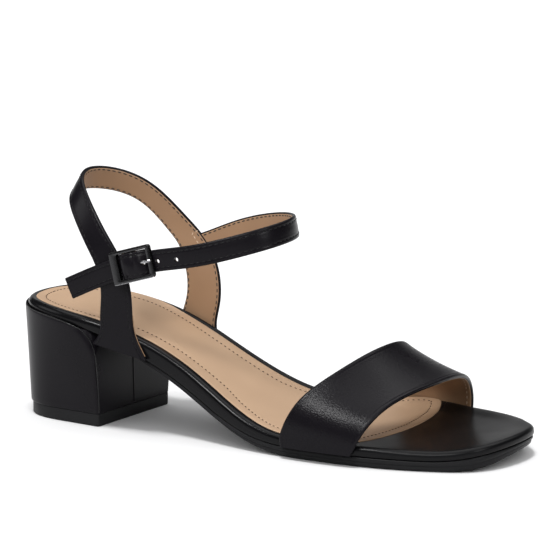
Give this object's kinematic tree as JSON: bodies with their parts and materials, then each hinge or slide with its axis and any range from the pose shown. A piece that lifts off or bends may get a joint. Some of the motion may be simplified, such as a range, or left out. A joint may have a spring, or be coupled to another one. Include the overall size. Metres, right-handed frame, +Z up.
{
  "type": "block heel sandal",
  "caption": "Open-toe right sandal on a block heel, with a wide strap over the toes and a buckled ankle strap that joins a strap round the back of the ankle.",
  "frame": {"origin": "middle of the sandal's box, on the floor", "axes": "+X from the heel to the toe, -Y to the outer side with the buckle, +Z up"},
  "size_m": [0.2376, 0.0902, 0.1099],
  "materials": {
    "black_leather": "smooth, semi-gloss",
    "beige_lining": "smooth lining, matte",
    "black_rubber": "matte",
    "gunmetal": "polished dark plating"
  },
  "bodies": {
    "root": {"outsole": "black_rubber", "footbed": "black_leather", "sock_lining": "beige_lining", "heel_block": "black_leather", "top_lift": "black_rubber", "vamp_strap": "black_leather", "quarter_strap": "black_leather", "buckle_frame": "gunmetal", "buckle_prong": "gunmetal"}
  },
  "joints": []
}
